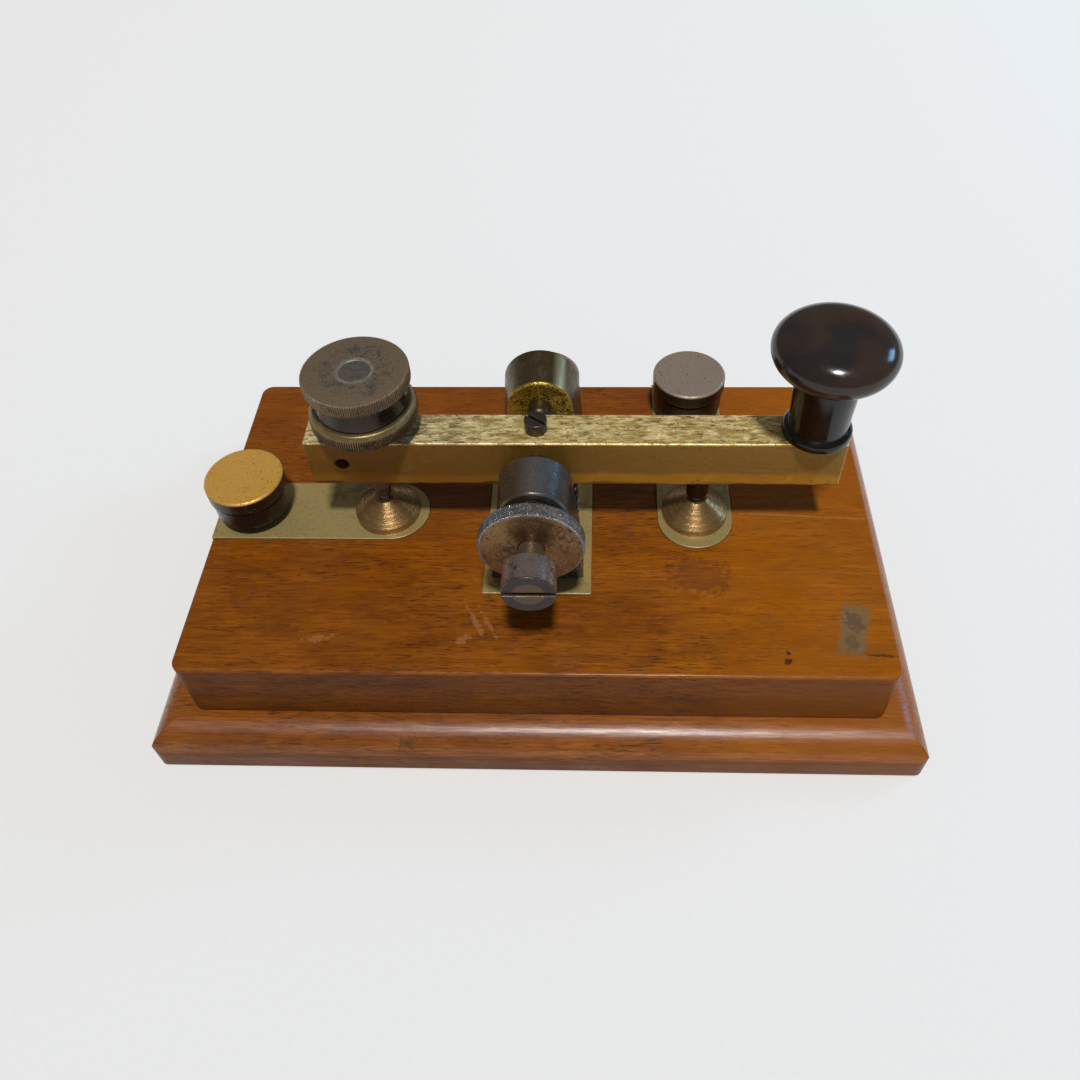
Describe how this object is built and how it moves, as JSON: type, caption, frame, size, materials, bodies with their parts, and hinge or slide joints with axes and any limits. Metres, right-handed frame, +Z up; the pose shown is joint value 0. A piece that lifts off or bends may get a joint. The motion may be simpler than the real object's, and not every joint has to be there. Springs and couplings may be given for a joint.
{
  "type": "morse key",
  "caption": "Hand key for telegraph work: a rocking brass lever with a turned knob on a pivot bridge, with contacts, adjusters and wire terminals on a stepped wooden base.",
  "frame": {"origin": "centre of the underside of the wooden plinth, which rests on the table", "axes": "+X along the lever towards the operator's knob, +Y away from the side with the adjustable pivot screw, +Z up"},
  "size_m": [0.1674, 0.1016, 0.0806],
  "materials": {
    "mahogany": "polished, worn at the edges",
    "lever_brass": "aged, pitted and scratched along its length",
    "strap_brass": "dull and pale",
    "bronze": "dark turned bronze with worn rims",
    "terminal_brass": "mottled",
    "grey_brass": "dull blue grey patina",
    "steel": "dark steel",
    "contact_metal": "silver contact metal",
    "ebonite": "polished hard rubber"
  },
  "bodies": {
    "base": {"base_plinth": "mahogany", "base_block": "mahogany", "base_screws": "steel", "back_strap": "strap_brass", "bridge_strap": "strap_brass", "front_strap": "strap_brass", "front_standard": "grey_brass", "rear_standard": "grey_brass", "bridge_screws": "steel", "rear_pivot_screw": "steel", "spring_guide": "steel", "return_spring": "steel", "back_anvil": "bronze", "back_anvil_tip": "contact_metal", "front_anvil": "bronze", "front_anvil_tip": "contact_metal", "left_terminal_post": "terminal_brass", "middle_terminal_post": "terminal_brass", "right_terminal_post": "terminal_brass", "stud_washers": "terminal_brass", "stud_nuts": "terminal_brass"},
    "lever": {"lever_bar": "lever_brass", "lever_arbor": "steel", "arbor_set_screw": "steel", "front_contact_stud": "bronze", "lever_contact_tip": "contact_metal", "key_knob": "ebonite", "knob_screw": "steel"},
    "adjuster": {"adjusting_screw": "bronze", "adjusting_screw_tip": "contact_metal"},
    "adjuster_knob": {"adjusting_knob": "bronze"},
    "adjuster_nut": {"adjusting_lock_nut": "bronze"},
    "pivot_screw": {"front_pivot_screw": "steel"},
    "pivot_nut": {"front_lock_nut": "grey_brass"},
    "left_clamp_washer": {"left_terminal_washer": "terminal_brass"},
    "left_clamp_head": {"left_terminal_head": "terminal_brass"},
    "middle_clamp_washer": {"middle_terminal_washer": "terminal_brass"},
    "middle_clamp_head": {"middle_terminal_head": "terminal_brass"},
    "right_clamp_washer": {"right_terminal_washer": "terminal_brass"},
    "right_clamp_head": {"right_terminal_head": "terminal_brass"}
  },
  "joints": [
    {"name": "lever_rock", "type": "hinge", "parent": "base", "child": "lever", "pos_m": [0.0001, 0, 0.0484], "axis": [0, 1, 0], "range_deg": [0, 1], "stiffness_Nm_per_rad": 0.11, "springref_deg": -22.92, "deforming": ["return_spring"]},
    {"name": "adjuster_lift", "type": "slide", "parent": "lever", "child": "adjuster", "axis": [0, 0, 1], "range_m": [0, 0.001]},
    {"name": "adjuster_turn", "type": "hinge", "parent": "adjuster", "child": "adjuster_knob", "pos_m": [-0.0353, 0, 0.06], "axis": [0, 0, 1], "range_deg": [0, 360]},
    {"name": "adjuster_nut_turn", "type": "hinge", "parent": "lever", "child": "adjuster_nut", "pos_m": [-0.0353, 0, 0.06], "axis": [0, 0, 1], "range_deg": [0, 90]},
    {"name": "pivot_screw_turn", "type": "hinge", "parent": "base", "child": "pivot_screw", "pos_m": [0.0001, 0, 0.0484], "axis": [0, -1, 0], "range_deg": [0, 90]},
    {"name": "pivot_nut_turn", "type": "hinge", "parent": "base", "child": "pivot_nut", "pos_m": [0.0001, 0, 0.0484], "axis": [0, -1, 0], "range_deg": [0, 90]},
    {"name": "left_clamp_lift", "type": "slide", "parent": "base", "child": "left_clamp_washer", "axis": [0, 0, 1], "range_m": [0, 0.0015]},
    {"name": "left_clamp_turn", "type": "hinge", "parent": "left_clamp_washer", "child": "left_clamp_head", "pos_m": [-0.0664, 0, 0.038], "axis": [0, 0, 1], "range_deg": [0, 720]},
    {"name": "middle_clamp_lift", "type": "slide", "parent": "base", "child": "middle_clamp_washer", "axis": [0, 0, 1], "range_m": [0, 0.0015]},
    {"name": "middle_clamp_turn", "type": "hinge", "parent": "middle_clamp_washer", "child": "middle_clamp_head", "pos_m": [-0.0003, 0.03435, 0.038], "axis": [0, 0, 1], "range_deg": [0, 720]},
    {"name": "right_clamp_lift", "type": "slide", "parent": "base", "child": "right_clamp_washer", "axis": [0, 0, 1], "range_m": [0, 0.0015]},
    {"name": "right_clamp_turn", "type": "hinge", "parent": "right_clamp_washer", "child": "right_clamp_head", "pos_m": [0.0353, 0.03435, 0.038], "axis": [0, 0, 1], "range_deg": [0, 720]}
  ],
  "couplings": [
    {"joint": "adjuster_turn", "follows": "adjuster_lift", "rad_per_m": 6283.2},
    {"joint": "left_clamp_turn", "follows": "left_clamp_lift", "rad_per_m": 8377.5},
    {"joint": "middle_clamp_turn", "follows": "middle_clamp_lift", "rad_per_m": 8377.5},
    {"joint": "right_clamp_turn", "follows": "right_clamp_lift", "rad_per_m": 8377.5}
  ]
}
